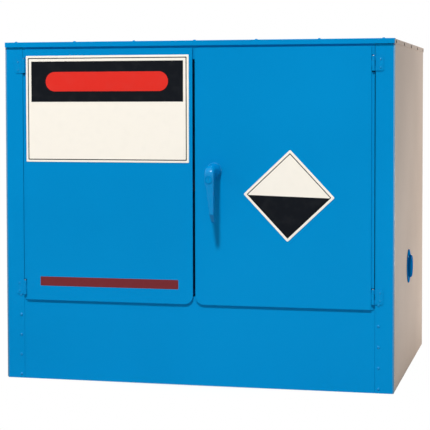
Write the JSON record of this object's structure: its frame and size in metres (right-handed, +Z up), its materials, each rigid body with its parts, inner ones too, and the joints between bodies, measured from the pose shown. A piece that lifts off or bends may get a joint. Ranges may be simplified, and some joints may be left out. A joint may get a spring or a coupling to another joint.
{
  "type": "dangerous goods storage cabinet",
  "caption": "Double-skinned steel cabinet for dangerous goods: hinged doors over a spill sump, a lever handle that throws latch rods, a slotted shelf and side vents.",
  "frame": {"origin": "on the floor, under the middle of the carcass footprint", "axes": "+X to the right of someone facing the doors, +Y towards the back, +Z up"},
  "size_m": [0.944, 0.7677, 0.805],
  "materials": {
    "blue_paint": "gloss powder coat",
    "stone_paint": "satin powder coat",
    "zinc_plate": "zinc plated",
    "steel_pin": "plain turned steel"
  },
  "bodies": {
    "carcass": {"stile_right": "blue_paint", "stile_left": "blue_paint", "header_rail": "blue_paint", "lower_front_panel": "blue_paint", "liner_right": "blue_paint", "liner_left": "blue_paint", "liner_back": "blue_paint", "liner_ceiling": "blue_paint", "sump_tray": "blue_paint", "vent_duct_low": "blue_paint", "vent_cap_low": "blue_paint", "vent_duct_high": "blue_paint", "vent_cap_high": "blue_paint", "hinge_frame_leaf_right_top": "blue_paint", "hinge_frame_leaf_right_bottom": "blue_paint", "hinge_frame_leaf_left_top": "blue_paint", "hinge_frame_leaf_left_bottom": "blue_paint", "side_panel_right": "stone_paint", "side_panel_left": "stone_paint", "back_panel": "stone_paint", "lid": "stone_paint", "base_panel": "stone_paint", "sump_bearer_front": "stone_paint", "sump_bearer_rear": "stone_paint", "shelf": "zinc_plate", "vent_screen_low": "zinc_plate", "vent_screen_high": "zinc_plate", "shelf_strip_right_front": "zinc_plate", "shelf_clip_right_front": "zinc_plate", "shelf_strip_right_rear": "zinc_plate", "shelf_clip_right_rear": "zinc_plate", "shelf_strip_left_front": "zinc_plate", "shelf_clip_left_front": "zinc_plate", "shelf_strip_left_rear": "zinc_plate", "shelf_clip_left_rear": "zinc_plate", "hinge_pin_right_top": "steel_pin", "hinge_pin_right_bottom": "steel_pin", "hinge_pin_left_top": "steel_pin", "hinge_pin_left_bottom": "steel_pin"},
    "left_door": {"door_outer_pan_left": "blue_paint", "door_inner_pan_left": "blue_paint", "hinge_door_leaf_left_top": "blue_paint", "hinge_door_leaf_left_bottom": "blue_paint", "bolt_guide_upper": "zinc_plate", "bolt_guide_lower": "zinc_plate"},
    "right_door": {"door_outer_pan_right": "blue_paint", "door_inner_pan_right": "blue_paint", "hinge_door_leaf_right_top": "blue_paint", "hinge_door_leaf_right_bottom": "blue_paint", "handle_rose": "blue_paint", "rod_guide_upper": "zinc_plate", "rod_guide_lower": "zinc_plate"},
    "handle": {"lever_handle": "blue_paint", "handle_spindle": "zinc_plate", "latch_cam": "zinc_plate"},
    "lock_barrel": {"lock_barrel": "blue_paint"},
    "latch_rod_upper": {"latch_rod_upper": "zinc_plate"},
    "latch_rod_lower": {"latch_rod_lower": "zinc_plate"},
    "flush_bolt_upper": {"flush_bolt_upper": "zinc_plate"},
    "flush_bolt_lower": {"flush_bolt_lower": "zinc_plate"}
  },
  "joints": [
    {"name": "left_door_hinge", "type": "hinge", "parent": "carcass", "child": "left_door", "pos_m": [-0.4168, -0.3572, 0.4845], "axis": [0, 0, -1], "range_deg": [0, 110]},
    {"name": "right_door_hinge", "type": "hinge", "parent": "carcass", "child": "right_door", "pos_m": [0.4168, -0.3572, 0.4845], "axis": [0, 0, 1], "range_deg": [0, 110]},
    {"name": "handle_turn", "type": "hinge", "parent": "right_door", "child": "handle", "pos_m": [0.0485, -0.361, 0.504], "axis": [0, -1, 0], "range_deg": [0, 90]},
    {"name": "lock_turn", "type": "hinge", "parent": "handle", "child": "lock_barrel", "pos_m": [0.0478, -0.407, 0.485], "axis": [0, -1, 0], "range_deg": [0, 90]},
    {"name": "latch_rod_upper_slide", "type": "slide", "parent": "right_door", "child": "latch_rod_upper", "axis": [0, 0, 1], "range_m": [0, 0.012]},
    {"name": "latch_rod_lower_slide", "type": "slide", "parent": "right_door", "child": "latch_rod_lower", "axis": [0, 0, -1], "range_m": [0, 0.012]},
    {"name": "flush_bolt_upper_slide", "type": "slide", "parent": "left_door", "child": "flush_bolt_upper", "axis": [0, 0, 1], "range_m": [0, 0.012]},
    {"name": "flush_bolt_lower_slide", "type": "slide", "parent": "left_door", "child": "flush_bolt_lower", "axis": [0, 0, -1], "range_m": [0, 0.012]}
  ],
  "couplings": [
    {"joint": "latch_rod_upper_slide", "follows": "handle_turn", "m_per_rad": 0.0076394},
    {"joint": "latch_rod_lower_slide", "follows": "handle_turn", "m_per_rad": 0.0076394}
  ]
}
